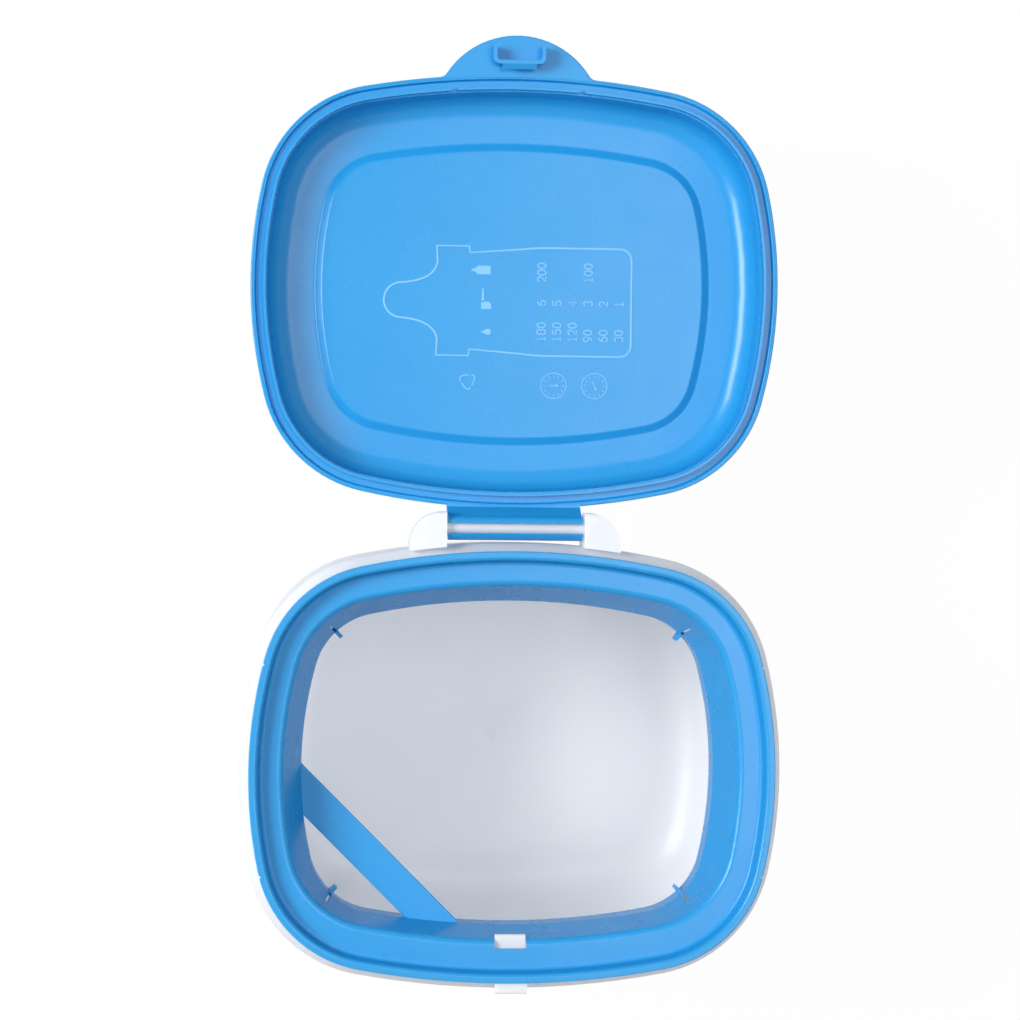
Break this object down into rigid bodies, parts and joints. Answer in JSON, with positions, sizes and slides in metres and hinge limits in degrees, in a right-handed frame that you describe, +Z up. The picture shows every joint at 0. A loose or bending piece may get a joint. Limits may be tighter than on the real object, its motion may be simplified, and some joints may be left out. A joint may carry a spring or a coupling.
{
  "type": "baby food storage box",
  "caption": "Flip-lid milk powder box: rounded tub, clip-in frame with a scoop levelling bar, and a domed lid with a front latch, opened flat at the back.",
  "frame": {"origin": "centre of the tub's flat base", "axes": "+X to the right, +Y towards the hinge, +Z up; the lid lies open towards +Y"},
  "size_m": [0.174, 0.3067, 0.1187],
  "materials": {
    "white_plastic": "satin moulded polypropylene",
    "blue_plastic": "satin moulded polypropylene"
  },
  "bodies": {
    "tub_body": {"tub": "white_plastic", "leveller_frame": "blue_plastic"},
    "lid_body": {"lid": "blue_plastic"}
  },
  "joints": [
    {"name": "lid_hinge", "type": "hinge", "parent": "tub_body", "child": "lid_body", "pos_m": [0, 0.076, 0.1127], "axis": [1, 0, 0], "range_deg": [0, 180]}
  ]
}
